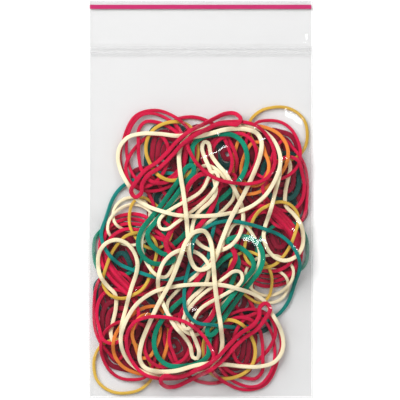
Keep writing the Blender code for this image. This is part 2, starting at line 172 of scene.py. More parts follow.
# Each ring's route in the upper half of the heap. The lower half repeats it, turned half round.
ROUTES = {
    "red_a": [(-34.3, 26), (-32.5, 31.5), (-29.3, 36.5), (-25, 38.8), (-18.5, 39.3), (-12.5, 37), (-7, 33),
              (-3.2, 27.5), (-2.6, 20.5), (-5.5, 13), (-11.5, 7), (-19, 3.8), (-27, 4.3), (-32.3, 8.3),
              (-35.2, 14), (-35.8, 20)],
    "red_b": [(-32.6, 27), (-30.3, 33), (-26.3, 37.2), (-21.5, 38), (-15.5, 36), (-10, 31.8), (-7.4, 26),
              (-7.2, 19), (-10.3, 12.5), (-16, 8.2), (-22.5, 6.5), (-28, 8.5), (-31.5, 14), (-32.9, 20.5)],
    "red_c": [(-27.6, 25), (-27.4, 31), (-24.5, 34.3), (-19, 34), (-13, 31.3), (-8.8, 27.3), (-6.4, 21),
              (-7.4, 15), (-10.8, 10), (-16, 7.2), (-22, 8), (-26, 12.5), (-27.4, 18.5)],
    "red_d": [(-30.9, 3.5), (-28.4, 8), (-24.8, 12.6), (-19.5, 16.2), (-14.5, 21), (-10, 25.9), (-4.8, 30),
              (1.2, 33.1), (6.5, 35.9), (11, 37.9), (15.2, 38), (17.8, 35.6), (16.2, 33.1), (12, 33.5),
              (7.2, 32.9), (2.3, 30.6), (-3.4, 27.7), (-8.4, 23.9), (-12.9, 19), (-17.9, 14.1),
              (-23.2, 10.6), (-26, 6.4), (-26.3, 2.6), (-29, 0.8)],
    "red_e": [(-4, 28.3), (2, 30.8), (8, 33.7), (14, 34.4), (20, 34), (25.5, 32), (30, 27.3), (32.7, 20.5),
              (32.4, 14), (29, 9), (22.5, 6.8), (14, 7.2), (7, 9), (1, 13), (-3.5, 18.5), (-5.8, 24.3)],
    "red_f": [(12, 28.3), (18, 29), (22.5, 26.3), (24.8, 21), (24.2, 15.5), (21, 10.6), (16, 8.2), (10, 9.5),
              (6, 13.5), (4.6, 19), (6.7, 24.8)],
    "red_g": [(24.7, 33.7), (30, 34.9), (35.5, 34.2), (40, 31.2), (43, 26.3), (44.3, 20.5), (43, 14.5),
              (39, 10.5), (33, 8.5), (27, 9.8), (22.3, 14), (20, 20), (20.8, 27.5)],
    "red_h": [(37, 26), (41, 22.7), (44.3, 18.5), (46.4, 14), (47.3, 8.5), (47.3, 1), (46.7, -5),
              (44.5, -10), (40, -13), (34, -12), (29.8, -7), (28.5, 0), (29.6, 8), (31, 16), (33.3, 22.7)],
    "red_i": [(43.3, 17), (45.1, 11.5), (46.1, 5.5), (45, -0.5), (41.5, -4.5), (36, -5), (30.5, -1.5),
              (27.5, 4.5), (29, 11), (33.7, 16), (39, 18.7)],
    "red_j": [(-12.6, -24.4), (-7.8, -20), (-2.7, -14.3), (1.8, -9), (5.2, -3.5), (7.2, 3), (6.1, 8.6),
              (1.5, 11.2), (-3.8, 8), (-7.4, 1), (-9.7, -7), (-13, -14), (-15.4, -20)],
    "red_k": [(28.5, -3.3), (33, -7), (37.5, -11.7), (41, -17), (42, -23), (39.5, -28.5), (34, -31.8),
              (27, -31.5), (20, -28.7), (13.5, -25.6), (10.4, -20.5), (12, -14), (17, -8), (22.5, -4)],
    "red_l": [(31.5, -4.3), (36, -8.2), (40, -13), (43, -18.7), (43.5, -25), (41, -31), (35, -34),
              (28, -34.2), (20.5, -31.5), (15, -27), (13.8, -21), (16.8, -14.5), (21.5, -9), (26, -4.8)],
    "red_m": [(-13.5, -5.8), (-8, -4.2), (-2.5, -2), (2.5, 1), (7.5, 4.8), (12.5, 7), (15.8, 9.8), (13, 11.3),
              (7.5, 9.8), (2, 6.8), (-3, 3), (-8, 0.4), (-13, -1.7), (-15.6, -4)],
    "red_n": [(-11.5, 34.5), (-6, 36.4), (0, 35.8), (6, 33), (11, 28.5), (14.5, 22.5), (16.2, 16),
              (14, 10.3), (9, 8), (4, 11), (1, 17), (-3, 24), (-9, 29.5)],
    "red_o": [(-22.3, 28.3), (-28, 23.8), (-31.3, 19.5), (-33.2, 14), (-31.8, 8.3), (-27.3, 5.2),
              (-21, 6.8), (-16.7, 11.5), (-14.4, 18), (-14.8, 24.3), (-17.8, 28)],
    "red_p": [(29.5, -5.8), (34.5, -10), (38.8, -14.8), (41.8, -20.5), (42.8, -27), (40.5, -32.8), (35, -36),
              (29, -36.4), (23, -34.5), (18, -30), (15.5, -24), (17, -17), (21, -10.5), (25.5, -6.5)],
    "red_q": [(30.5, -2.6), (35.7, -6.2), (40.2, -10.8), (43.6, -16.6), (44.8, -23.5), (43.3, -30.5),
              (39.5, -36), (34, -38.3), (28, -38.6), (23.5, -36.8), (19.5, -31), (18, -22), (20.5, -13.5),
              (24.5, -6.5)],
    "red_r": [(-10.5, -5.4), (-4, -4.6), (2.2, -2.2), (7, 2.2), (9.4, 7.6), (8, 12), (4, 11.5), (1.6, 6.5),
              (-1.6, 1.4), (-6.4, -2)],
    "red_s": [(9.6, 27.4), (12.5, 22.2), (14, 16.5), (12.5, 11.5), (8, 9.8), (3.6, 12.4), (2.6, 18.5),
              (4.6, 24.6)],
    "red_t": [(-27.8, 9.5), (-24.4, 4.6), (-21.7, -0.4), (-19.8, -5.6), (-16.5, -10), (-11.5, -12.6),
              (-9, -9), (-11.5, -3.6), (-15.6, 2), (-19.6, 7.6), (-24, 11)],
    "cream_a": [(-36.7, 17.5), (-36, 22.8), (-32.3, 27.3), (-26, 29), (-18, 28.9), (-9, 28), (-3, 29.6),
                (3, 31.6), (9, 32.9), (15, 33.2), (21, 32.8), (27, 30.6), (32, 26.5), (34.8, 21),
                (35.3, 15.5), (33, 8.5), (28.3, 1.2), (20.5, -4.3), (10, -6.8), (0, -7.6), (-10, -7.2),
                (-17, -5.5), (-23, -3.4), (-28, -0.3), (-31.3, 5), (-35, 11.5)],
    "cream_b": [(-4.5, 27.2), (0, 28), (5, 29.2), (10, 30.6), (15, 31.2), (20, 31), (24.8, 29.3),
                (27, 25.5), (26.3, 19), (24, 12.5), (21.3, 6.5), (17.8, -0.5), (15, -5.5), (12.5, -10.5),
                (10.5, -15.5), (8.6, -20.5), (6.9, -25.5), (3.5, -30.3), (-1.5, -31.2), (-4.5, -26.5),
                (-5.5, -18), (-6.3, -8), (-7.5, 2), (-9, 11.5), (-9.5, 20), (-8, 24.8)],
    "cream_c": [(36, 17.5), (34.8, 9.8), (33.2, 3.5), (31.6, -2.8), (30, -8), (28.5, -12.5), (28, -17),
                (29.8, -22.5), (33.2, -26), (37.5, -27.3), (42, -25.7), (45, -21.5), (45.5, -16),
                (44.3, -11), (41.3, -6.8), (37.8, -3), (37.6, 3), (38.8, 9), (39.8, 14.5), (38.4, 18)],
    "cream_d": [(11.5, -3.5), (7, -7.6), (2.5, -11.2), (-2.5, -16), (-7.5, -21.6), (-11, -26.5),
                (-12.7, -31), (-15.7, -34.6), (-20, -33.4), (-24, -28), (-26.2, -21.5), (-25.4, -15.8),
                (-21.5, -11), (-16.5, -5.7), (-10.8, 0.2), (-5.8, 4), (-3.2, 9.5), (-1.3, 13), (2.3, 14.8),
                (6.3, 13.6), (10.8, 9.2), (14.6, 5), (14.6, 0.5)],
    "cream_e": [(3.6, 9.5), (2.2, 6.3), (0, 3.3), (-3.5, 0.8), (-8, -1.7), (-12.5, -4.2), (-16.3, -6.8),
                (-18.5, -10), (-17.7, -13), (-14.8, -13.4), (-11, -10.8), (-6, -7), (-1, -3.2), (3.5, 1),
                (6.8, 5.8), (7.8, 10.3), (6, 12.2)],
    "cream_f": [(3.4, 24.8), (4.6, 19.8), (7.6, 15.3), (11.2, 11.2), (14.2, 6), (16.4, 1.5), (18.2, -3),
                (18.9, -8), (18.2, -13), (16.2, -17.6), (12.5, -21.2), (8, -22.9), (3.5, -22.3),
                (-0.7, -19.9), (-3.6, -15.8), (-3.4, -11), (-1.9, -7.2), (0.6, -4.4), (4, -1.5), (6.6, 2.5),
                (6.2, 8), (4, 13.5), (1.8, 18.5), (0.6, 22.6), (1.5, 25.3)],
    "cream_g": [(-40.5, -9.5), (-36.5, -4.8), (-30.5, -2.4), (-24.5, -4), (-20.5, -8.5), (-20.5, -14.5),
                (-25, -19), (-31.5, -20.5), (-37.5, -18.5), (-41, -14.5)],
    "cream_h": [(-38.8, -5.8), (-36.4, -1.6), (-32, 0.6), (-26.6, 0), (-22.8, -4.6), (-23.4, -10.4),
                (-28, -14), (-34, -13.6), (-38, -10.6)],
    "yellow_a": [(22.2, 35), (26.5, 39), (32, 40.7), (38, 40.6), (43, 38.3), (46.3, 34.5), (47.4, 29),
                 (46.8, 24), (44, 19.6), (38.5, 17), (32, 17.5), (26.5, 21), (23, 26.5), (21.4, 31)],
    "yellow_b": [(30, -2.9), (26.3, -5), (23.5, -8.8), (21.8, -13.5), (20.1, -18.5), (19.4, -23.3),
                 (20.6, -27.3), (24, -29.8), (28.5, -30.4), (33, -29), (36.6, -25.6), (39.4, -21.5),
                 (41.6, -16), (43.2, -10.5), (43, -6.6), (40.6, -3.2), (37, -1.5), (33.2, -1.5)],
    "yellow_c": [(-21.5, 30.2), (-18, 32.7), (-13, 34.2), (-8, 33.9), (-3.8, 31.2), (-1.6, 26), (-1.2, 20),
                 (-2.6, 14.5), (-6.5, 10.2), (-13, 8.2), (-19, 10.8), (-22.3, 15.5), (-24.2, 20.5),
                 (-23.8, 26)],
    "yellow_d": [(-30, -1.6), (-31.6, -7), (-31.3, -12), (-29, -16.7), (-25, -20.8), (-19.5, -22),
                 (-14, -18.5), (-13, -12), (-16.5, -6), (-21.5, -1.5), (-26.2, 0.8)],
    "orange_a": [(24, 32.3), (31, 31), (35.3, 28.3), (38.3, 23.5), (38.6, 17.5), (35.5, 11), (30.5, 6),
                 (24.5, 2.6), (19, 2.6), (15.3, 7), (14.2, 15), (15.8, 23), (18.8, 29.3)],
    "orange_b": [(26.8, 24.8), (28.8, 20), (30.3, 15), (29, 9.6), (25, 6), (20, 7), (18, 12.4), (19.4, 19),
                 (22.8, 24.6)],
    "green_a": [(3.6, -25), (4.6, -18.4), (7.2, -5), (6.5, 4.1), (2, 9.2), (-5.3, 10.4), (-17.9, 11.5),
                (-26, 9.8), (-34, 6.2), (-38.6, 0.8), (-42, -8.5), (-44.1, -15.8), (-41.8, -22.9),
                (-36.5, -28.5), (-28.9, -31.9), (-20.1, -34.6), (-12.6, -35.7), (-5.5, -34.3), (0, -31),
                (2.6, -28)],
    "green_b": [(-5.9, 14.2), (-9.4, 8.7), (-13.9, 2.3), (-18.3, -3.8), (-22.4, -8.8), (-25.9, -13.4),
                (-27.6, -18.5), (-26.9, -23.2), (-24, -26.9), (-20, -28.7), (-15.4, -28.5), (-11.8, -26.9),
                (-12.8, -24.8), (-16.4, -24.4), (-20.2, -21.9), (-22.9, -18.5), (-23.4, -14.9),
                (-20.2, -10.4), (-16, -5), (-11.6, 0.6), (-6.9, 7), (-3, 12.2), (-3.4, 14.9)],
    "green_c": [(-14.8, -21), (-10.5, -18.9), (-5.6, -14), (-1.2, -9), (4, -4), (9, 0), (13, 3.6),
                (17.5, 8.8), (20.2, 14.5), (20.5, 20), (18.6, 25), (14.5, 28.3), (8, 28.8), (1.3, 27.6),
                (-3.2, 24), (-3.8, 18), (-5, 11), (-8.5, 3.5), (-12, -4), (-15.2, -12), (-16.8, -17.5)],
    "green_d": [(38.5, -10.5), (44, -12.3), (46.9, -17.5), (47.4, -23.5), (46.6, -28.5), (43.5, -32),
                (38, -34.5), (31.5, -34), (26.5, -30), (25, -23.5), (27.5, -16.5), (32.5, -12)],
}

# From the bottom of the heap to its top. A bare name lays its upper ring and then its lower one.
LAYING_ORDER = [
    "yellow_a", "red_h", "red_g", "green_d", "red_i", "red_q", "red_l", "red_p", "cream_h", "cream_g",
    "red_n", "red_k", "orange_a", "red_t", "orange_b", "yellow_d", "yellow_b", "green_a:upper", "red_a",
    "red_b", "red_m", "red_r", "red_s", "red_f", "red_o", "green_c", "red_c", "cream_d", "yellow_c",
    "green_b", "red_j", "cream_f", "cream_e", "cream_c", "green_a:lower", "cream_a", "cream_b", "red_e",
    "red_d",
]

# The stretches where a ring dives under the heap, from one point of its route to another.
DIVES = {
    "red_h": (9, 13), "red_g": (7, 12), "red_k": (9, 13), "red_l": (9, 13), "red_p": (9, 13),
    "red_q": (10, 13), "red_m": (7, 13), "red_r": (5, 9), "red_s": (4, 7), "red_t": (5, 9),
    "red_n": (8, 12), "cream_b": (17, 25), "cream_c": (15.4, 19.6), "cream_d": (17, 21.5),
    "cream_e": (9.7, 16), "cream_f": (18.6, 23.5), "cream_g": (4, 8), "cream_h": (4, 8),
    "yellow_a": (8.2, 13.5), "yellow_b": (9.6, 11.2), "yellow_c": (4.6, 7.2), "yellow_d": (4, 9.6),
    "orange_a": (4.5, 12.6), "orange_b": (3.6, 8.6), "green_a": (1, 8), "green_c": (15.5, 20.5),
    "green_d": (8, 11.5), "green_b": (19, 22.5),
}

# Widths of rings that are not cut like most.
WIDTHS = {
    "cream_a": 1.75, "cream_b": 1.95, "cream_c": 1.75, "cream_f": 1.75, "red_j": 2.1, "red_d": 1.8,
    "green_b": 2.1, "green_c": 2.1, "green_a": 1.6, "yellow_a": 1.3, "red_g": 1.35, "red_h": 1.4,
    "red_a": 1.4, "red_b": 1.3, "cream_g": 1.3, "cream_h": 1.3, "yellow_d": 1.3, "yellow_b": 1.4,
}

# The very bottom of the heap, as nests of rings: the middle of each and its reach in x and y.
CLUSTERS = [(-14, 21, 10.5, 12.5), (12, 20, 14, 12.5), (34, 21, 9, 10), (38, -2, 8.5, 12),
            (30, -21, 12.5, 12.5), (-11, -2, 13, 10), (11, -5, 11, 11), (0, -22.7, 12, 10),
            (-3, 20, 10, 11), (25, 20, 10.5, 11), (-22, 9, 8, 5), (2, 6, 14, 8), (27, 3, 11, 11),
            (36, 10, 8, 11), (35, -16, 9, 12), (18, -25, 11, 10), (-13, -14, 10, 8), (12, -14, 12, 9)]
NEST_SPACING = 2.6
NEST_SPARE = 0.2
NEST_POINTS = 14
NEST_WOBBLE = 0.05
NEST_WAVES = (2, 3, 4)
NEST_SEED = 3
BURIED_THICKNESS = 0.7
BURIED_WIDTH = 2.2
BURIED_GREEN = 7
BURIED_SEED = 7
RING_REACH = 46.5


# ---------------------------------------------------------------- shared helpers

def add_object(name, data):
    made = bpy.data.objects.new(name, data)
    bpy.context.scene.collection.objects.link(made)
    return made


def smooth_step(t):
    """From 0 to 1 with no kink at either end."""
    return t * t * (3 - 2 * t)


# ---------------------------------------------------------------- rings

def closed_curve(points):
    """A centripetal Catmull-Rom loop through a route's points."""
    route = np.array(points, float)
    count = len(route)
    curve = []

    def mix(a, b, ta, tb, s):
        return (a * (tb - s) + b * (s - ta)) / (tb - ta)

    for i in range(count):
        p = [route[(i + k) % count] for k in (-1, 0, 1, 2)]
        t = [0.0]
        for a, b in zip(p, p[1:]):
            t.append(t[-1] + math.sqrt(math.dist(a, b)))
        for s in np.linspace(t[1], t[2], CURVE_STEPS, endpoint=False):
            a1, a2, a3 = (mix(p[k], p[k + 1], t[k], t[k + 1], s) for k in range(3))
            b1, b2 = mix(a1, a2, t[0], t[2], s), mix(a2, a3, t[1], t[3], s)
            curve.append(mix(b1, b2, t[1], t[2], s))
    return np.array(curve)


def even_stations(curve):
    """Points evenly spaced along the loop, and how far along the curve's own points each lies."""
    loop = np.vstack([curve, curve[:1]])
    along = np.concatenate([[0.0], np.cumsum(np.linalg.norm(np.diff(loop, axis=0), axis=1))])
    count = round(along[-1] / STATION_SPACING)
    places = np.arange(count) * along[-1] / count
    return (np.column_stack([np.interp(places, along, loop[:, k]) for k in (0, 1)]),
            np.interp(places, along, np.arange(len(loop))))


class Heap:
    """The height of what already lies on the back film, cell by cell."""

    def __init__(self):
        self.low = np.array(GRID_LOW)
        self.shape = tuple(int((GRID_HIGH[k] - GRID_LOW[k]) / CELL) + 1 for k in (0, 1))
        self.top = np.full(self.shape, BACK_TOP)

    def cells(self, places, reach):
        """The cells within reach of each place, as two index arrays with one row for each place."""
        span = int(reach / CELL) + 1
        steps = np.arange(-span, span + 1)
        di, dj = (a.ravel() for a in np.meshgrid(steps, steps, indexing="ij"))
        inside = np.hypot(di, dj) * CELL <= reach
        at = np.rint((places - self.low) / CELL).astype(int)
        i = np.clip(at[:, :1] + di[inside], 0, self.shape[0] - 1)
        j = np.clip(at[:, 1:] + dj[inside], 0, self.shape[1] - 1)
        return i, j

    def lay(self, places, half_width, half_height):
        """Rest a strap on the heap: the height of its middle at each place along it."""
        under = self.top[self.cells(places, half_width + SUPPORT_REACH * CELL)].max(axis=1)
        low = under + LAYER_GAP + half_height
        middle = low.copy()
        drop = STEEPEST * STATION_SPACING
        for _ in places:
            raised = np.maximum(np.roll(middle, 1), np.roll(middle, -1)) - drop
            if (raised <= middle).all():
                break
            middle = np.maximum(middle, raised)
        for _ in range(SAG_ROUNDS):
            middle = np.maximum(low, 0.5 * middle + 0.25 * (np.roll(middle, 1) + np.roll(middle, -1)))
        self.cover(places, half_width, middle + half_height)
        return middle

    def cover(self, places, half_width, top):
        """Raise the cells under a strap to its upper side."""
        i, j = self.cells(places, half_width + COVER_REACH * CELL)
        np.maximum.at(self.top, (i, j), top[:, None])


class Weave:
    """The rings over the nests. Where two rings meet, the one laid later passes above, unless it dives."""

    def __init__(self, heap):
        self.heap = heap
        self.rings = []

    def add(self, places, half_width, half_height, turn_at):
        """A ring with the height of its half section and the laying turn at each of its places."""
        self.rings.append((places, half_width, half_height, turn_at))

    def settle(self):
        """The height of each ring's middle line."""
        counts = [len(ring[0]) for ring in self.rings]
        starts = np.concatenate([[0], np.cumsum(counts)])
        owner = np.repeat(np.arange(len(counts)), counts)
        places = np.vstack([ring[0] for ring in self.rings])
        half_width = np.concatenate([np.full(n, ring[1]) for n, ring in zip(counts, self.rings)])
        half_height = np.concatenate([ring[2] for ring in self.rings])
        turn_at = np.concatenate([ring[3] for ring in self.rings])
        ahead = np.concatenate([np.roll(np.arange(n), -1) + k for n, k in zip(counts, starts)])
        behind = np.concatenate([np.roll(np.arange(n), 1) + k for n, k in zip(counts, starts)])

        rest = np.empty(len(places))
        for k, (route, width, height, _) in enumerate(self.rings):
            under = self.heap.top[self.heap.cells(route, width + SUPPORT_REACH * CELL)].max(axis=1)
            rest[starts[k]:starts[k + 1]] = under + LAYER_GAP + height

        meetings = self.meetings(places, half_width, owner, starts)
        drop = STEEPEST * STATION_SPACING
        later_above = [sum(turn_at[i] - turn_at[j] for i, j in pairs) < 0 for pairs in meetings]

        def climb(z):
            """Lift each strap clear of those below it, without a steeper slope than rubber takes."""
            for _ in range(SETTLE_ROUNDS):
                raised = np.maximum(z, above(z))
                for _ in range(SLOPE_ROUNDS):
                    raised = np.maximum(raised, np.maximum(raised[ahead], raised[behind]) - drop)
                moved = np.abs(raised - z).max()
                z = raised
                if moved < SETTLED:
                    break
            return z, moved

        def above(z):
            floor = rest.copy()
            np.maximum.at(floor, upper, z[lower] + step)
            return floor

        share = UNDONE_SHARE
        for _ in range(MOST_ATTEMPTS):
            ordered = [(j, i) if later else (i, j)
                       for pairs, later in zip(meetings, later_above) for i, j in pairs]
            upper, lower = np.array(ordered).T
            step = half_height[upper] + half_height[lower] + LAYER_GAP
            z, moved = climb(rest.copy())
            undone = 0
            limit = max(HEAP_LIMIT, share * z.max())
            for k, pairs in enumerate(meetings):
                if not later_above[k] and max(max(z[i], z[j]) for i, j in pairs) > limit:
                    later_above[k] = True
                    undone += 1
            if not undone and (moved < SETTLED or share < LEAST_SHARE):
                break
            if not undone:
                share *= SHARE_STEP
        for _ in range(SAG_ROUNDS):
            z = np.maximum(above(z), 0.5 * z + 0.25 * (z[ahead] + z[behind]))
        z, _ = climb(z)
        middles = [z[start:end] for start, end in zip(starts, starts[1:])]
        for (route, width, height, _), middle in zip(self.rings, middles):
            self.heap.cover(route, width, middle + height)
        return middles

    def meetings(self, places, half_width, owner, starts):
        """The meetings of two rings, each a list of pairs of places: the earlier ring's, then the later's."""
        tree = KDTree(len(places))
        for k, (x, y) in enumerate(places):
            tree.insert((x, y, 0.0), k)
        tree.balance()
        widest = half_width.max()
        groups = {}
        for k, (x, y) in enumerate(places):
            for _, other, apart in tree.find_range((x, y, 0.0), half_width[k] + widest + MEETING_MARGIN):
                if owner[other] > owner[k] and apart < half_width[k] + half_width[other] + MEETING_MARGIN:
                    groups.setdefault((owner[k], owner[other]), []).append((k, other))
        found = []
        for (a, b), pairs in groups.items():
            found += self.contacts(pairs, starts[a], starts[a + 1], starts[b], starts[b + 1])
        return found

    @staticmethod
    def contacts(pairs, a0, a1, b0, b1):
        """Split the pairs of two rings into separate meetings."""
        reach = range(-CONTACT_REACH, CONTACT_REACH + 1)
        left, found = set(pairs), []
        while left:
            front = [left.pop()]
            contact = list(front)
            while front:
                i, j = front.pop()
                for di in reach:
                    for dj in reach:
                        beside = ((i - a0 + di) % (a1 - a0) + a0, (j - b0 + dj) % (b1 - b0) + b0)
                        if beside in left:
                            left.remove(beside)
                            front.append(beside)
                            contact.append(beside)
            found.append(sorted(contact))
        return found


def strap_section(half_width, half_thickness):
    """The strap's outline: a rectangle with rounded corners, as (across, up) points."""
    points = []
    for quarter in range(4):
        sx, sy = ((1, 1), (-1, 1), (-1, -1), (1, -1))[quarter]
        centre = (sx * (half_width - CORNER), sy * (half_thickness - CORNER))
        for step in range(CORNER_STEPS + 1):
            angle = (quarter + step / CORNER_STEPS) * math.pi / 2
            points.append((centre[0] + CORNER * math.cos(angle), centre[1] + CORNER * math.sin(angle)))
    return np.array(points)


def slow_wave(count, rng):
    """A smooth closed wave along a ring, between about -1 and 1."""
    s = np.arange(count) / count * 2 * math.pi
    return sum(np.sin(k * s + rng.uniform(0, 2 * math.pi)) / math.sqrt(len(TWIST_WAVES))
               for k in TWIST_WAVES)


def strap(places, middle, section, twist):
    """A strap swept round a loop and turned about its middle line: its sections' points, and its outline."""
    path = np.column_stack([places, middle])
    ahead = np.roll(path, -1, axis=0) - np.roll(path, 1, axis=0)
    ahead /= np.linalg.norm(ahead, axis=1)[:, None]
    side = np.column_stack([-ahead[:, 1], ahead[:, 0], np.zeros(len(ahead))])
    side /= np.linalg.norm(side, axis=1)[:, None]
    up = np.cross(ahead, side)
    c, s = np.cos(twist)[:, None], np.sin(twist)[:, None]
    across, over = c * side + s * up, c * up - s * side
    return np.stack([path + u * across + v * over for u, v in section], axis=1), section


def rings_piece(name, straps, material):
    """One object from one or more closed straps, each with its own tint."""
    vertices, sections, faces, first = [], [], [], 0
    for (points, section), tint in straps:
        count, turn = points.shape[:2]
        vertices.append(points.reshape(-1, 3))
        sections.append(np.tile(np.column_stack([section, np.full(turn, tint)]), (count, 1)))
        for i in range(count):
            here, there = first + turn * i, first + turn * ((i + 1) % count)
            for k in range(turn):
                faces.append((here + k, here + (k + 1) % turn, there + (k + 1) % turn, there + k))
        first += count * turn
    mesh = bpy.data.meshes.new(name)
    mesh.from_pydata((np.vstack(vertices) * MM).tolist(), [], faces)
    mesh.shade_smooth()
    place = mesh.attributes.new("section", "FLOAT_VECTOR", "POINT")
    place.data.foreach_set("vector", np.vstack(sections).ravel().astype(np.float32))
    fix_normals(mesh)
    mesh.materials.append(material)
    return add_object(name, mesh)


def fix_normals(mesh):
    """Turn every face outwards."""
    shape = bmesh.new()
    shape.from_mesh(mesh)
    bmesh.ops.recalc_face_normals(shape, faces=shape.faces)
    shape.to_mesh(mesh)
    shape.free()


def buried_routes():
    """Nested rings that cover the bottom of the heap, where only glimpses show."""
    rng = np.random.default_rng(NEST_SEED)
    buried = []
    for x, y, reach_x, reach_y in CLUSTERS:
        rings = int(min(reach_x, reach_y) / NEST_SPACING + NEST_SPARE)
        bumps = rng.uniform(0, 2 * math.pi, len(NEST_WAVES))
        for nest in range(rings):
            share = 1.0 - nest * NEST_SPACING / min(reach_x, reach_y)
            angle = np.linspace(0, 2 * math.pi, NEST_POINTS, endpoint=False)
            wobble = 1.0 + sum(NEST_WOBBLE * np.sin(k * angle + bump) for k, bump in zip(NEST_WAVES, bumps))
            route = np.column_stack([x + reach_x * share * wobble * np.cos(angle),
                                     y + reach_y * share * wobble * np.sin(angle)])
            route[:, 0] = np.clip(route[:, 0], -RING_REACH, RING_REACH)
            buried.append(route)
    return buried


def turned(route):
    """A route of the upper half, turned half round into the lower."""
    return np.array([(-x, 2 * HEAP_CENTRE_Y - y) for x, y in route])


def lay_buried(heap, route, rng):
    """One ring of a nest, resting on the heap, and its tint."""
    places, _ = even_stations(closed_curve(route))
    half_width, half_thick = BURIED_WIDTH / 2, BURIED_THICKNESS / 2
    middle = heap.lay(places, half_width, half_thick)
    flat = np.zeros(len(places))
    return strap(places, middle, strap_section(half_width, half_thick), flat), rng.uniform()


def make_buried(heap, materials):
    """The nests, joined in one piece for each colour, in rubbers darkened as painted shade of the heap's
    depths. One ring in every few is green.
    """
    rng = np.random.default_rng(BURIED_SEED)
    buried = buried_routes()
    buried += [turned(route) for route in buried]
    low = [lay_buried(heap, route, rng) for route in buried]
    green, red = low[::BURIED_GREEN], [made for k, made in enumerate(low) if k % BURIED_GREEN]
    for colour, straps in (("green", green), ("red", red)):
        piece = rings_piece(f"buried_{colour}_rings", straps, materials["buried_" + colour])
        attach(piece, "bag")


def make_rings(heap, materials, nodes):
    """Lay and build every ring of the heap."""
    rng = np.random.default_rng(RING_SEED)
    weave = Weave(heap)
    plans = []
    turn = 0
    for entry in LAYING_ORDER:
        name, _, only = entry.partition(":")
        for half in [only] if only else ["upper", "lower"]:
            route = ROUTES[name] if half == "upper" else turned(ROUTES[name])
            places, index = even_stations(closed_curve(route))
            half_width = WIDTHS.get(name, BAND_WIDTH) / 2
            half_thick = BAND_THICKNESS / 2 * rng.uniform(THINNEST_SHARE, 1.0)
            twist = TWIST * slow_wave(len(places), rng)
            half_height = half_thick * np.cos(twist) + (half_width - CORNER) * np.abs(np.sin(twist))
            turn += 1
            turn_at = np.full(len(places), float(turn))
            if name in DIVES:
                first, last = (CURVE_STEPS * k for k in DIVES[name])
                turn_at[(index > first) & (index < last)] -= DIVE_DEPTH
            weave.add(places, half_width, half_height, turn_at)
            plans.append((name, half, places, half_width, half_thick, twist, rng.uniform()))
    for (name, half, places, half_width, half_thick, twist, tint), middle in zip(plans, weave.settle()):
        colour, letter = name.split("_")
        # Easing softens the kinks, and lets rings that cross press a little into each other.
        eased = (np.roll(middle, 1) + 2 * middle + np.roll(middle, -1)) / 4
        ring = strap(places, eased, strap_section(half_width, half_thick), twist)
        material = materials[SPECIAL_FINISH.get(name, colour)]
        piece = rings_piece(f"{colour}_ring_{letter}_{half}", [(ring, tint)], material)
        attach(piece, "bag")
        node_name = f"{colour}_band_{letter}_{half}"
        if node_name in nodes:
            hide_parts(node_name)


# ---------------------------------------------------------------- films


def follow_mouth(piece):
    """Bake a piece's placement into its mesh; the piece is not bent."""
    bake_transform(piece)


def sheet_piece(name, xs, ys, height, thickness, material):
    """A film over a grid of places, its underside at height[i, j]."""
    rows, columns = height.shape
    x, y = np.meshgrid(xs, ys, indexing="ij")
    lower = np.stack([x, y, height], axis=-1).reshape(-1, 3)
    upper = lower + (0.0, 0.0, thickness)
    vertices = np.vstack([lower, upper]) * MM
    layer = rows * columns
    faces = []
    for i in range(rows - 1):
        for j in range(columns - 1):
            a, b = i * columns + j, (i + 1) * columns + j
            c, d = b + 1, a + 1
            faces.append((a, d, c, b))
            faces.append((layer + a, layer + b, layer + c, layer + d))
    rim = [(i, 0) for i in range(rows)] + [(rows - 1, j) for j in range(1, columns)]
    rim += [(i, columns - 1) for i in range(rows - 2, -1, -1)] + [(0, j) for j in range(columns - 2, 0, -1)]
    rim = [i * columns + j for i, j in rim]
    for a, b in zip(rim, rim[1:] + rim[:1]):
        faces.append((a, b, layer + b, layer + a))
    mesh = bpy.data.meshes.new(name)
    mesh.from_pydata(vertices.tolist(), [], faces)
    mesh.shade_smooth()
    fix_normals(mesh)
    mesh.materials.append(material)
    return add_object(name, mesh)


def value_noise(x, y, cell, rng):
    """Smooth noise between -1 and 1 over scattered places."""
    u, v = (x - x.min()) / cell, (y - y.min()) / cell
    i, j = u.astype(int), v.astype(int)
    grid = rng.uniform(-1, 1, (i.max() + 2, j.max() + 2))
    fu, fv = smooth_step(u - i), smooth_step(v - j)
    low = grid[i, j] * (1 - fu) + grid[i + 1, j] * fu
    high = grid[i, j + 1] * (1 - fu) + grid[i + 1, j + 1] * fu
    return low * (1 - fv) + high * fv


def creases(x, y, rng):
    """Fine folds of the film, each a narrow ridge, from 0 to 1."""
    total = np.zeros_like(x)
    for cell, share in CREASE_CELLS:
        warp_x = x + CREASE_WARP * value_noise(x, y, CREASE_WARP_CELL, rng)
        warp_y = y + CREASE_WARP * value_noise(x, y, CREASE_WARP_CELL, rng)
        total += share * (1.0 - np.abs(value_noise(warp_x, warp_y, cell, rng))) ** CREASE_SHARPNESS
    return total


